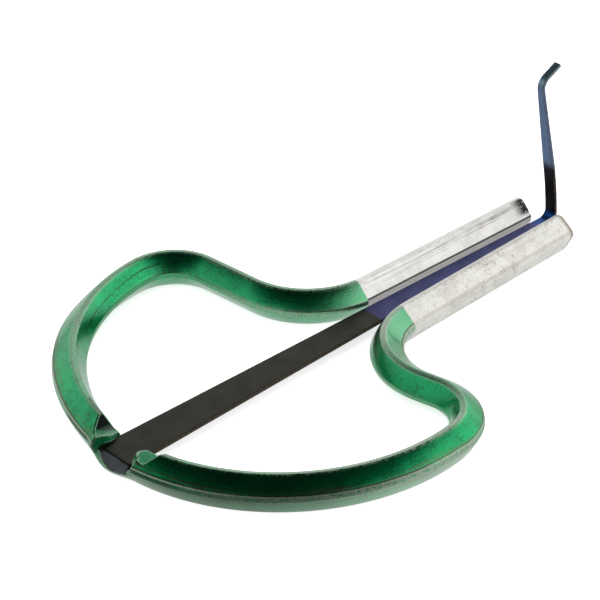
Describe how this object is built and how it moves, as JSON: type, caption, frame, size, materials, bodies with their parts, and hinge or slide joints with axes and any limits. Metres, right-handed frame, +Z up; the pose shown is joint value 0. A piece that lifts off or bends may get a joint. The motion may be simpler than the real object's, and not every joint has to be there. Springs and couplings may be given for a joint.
{
  "type": "jaw harp",
  "caption": "Jaw harp: a square bar bent on edge into a round bow with two straight jaws, and a flat spring reed staked into the bow's back and turned up into a trigger.",
  "frame": {"origin": "under the bar's centreline at the back of the bow, on the face that the harp lies on", "axes": "+X along the reed from the clamp to the jaw tips, +Y across to the harp's left, +Z up, the way the trigger stands"},
  "size_m": [0.0747, 0.0564, 0.0246],
  "materials": {
    "frame_steel": "clear green lacquer over bright steel on the bow, bare bright steel on the jaws",
    "reed_grey": "dark oiled spring steel",
    "reed_blue": "spring steel with purple to blue temper colours"
  },
  "bodies": {
    "harp": {"frame": "frame_steel", "reed_root": "reed_grey"},
    "tongue": {"reed_tongue": "reed_blue"}
  },
  "joints": [
    {"name": "reed_flex", "type": "hinge", "parent": "harp", "child": "tongue", "pos_m": [0.00237, 0, 0.00205], "axis": [0, -1, 0], "range_deg": [-7, 7], "stiffness_Nm_per_rad": 0.4}
  ]
}
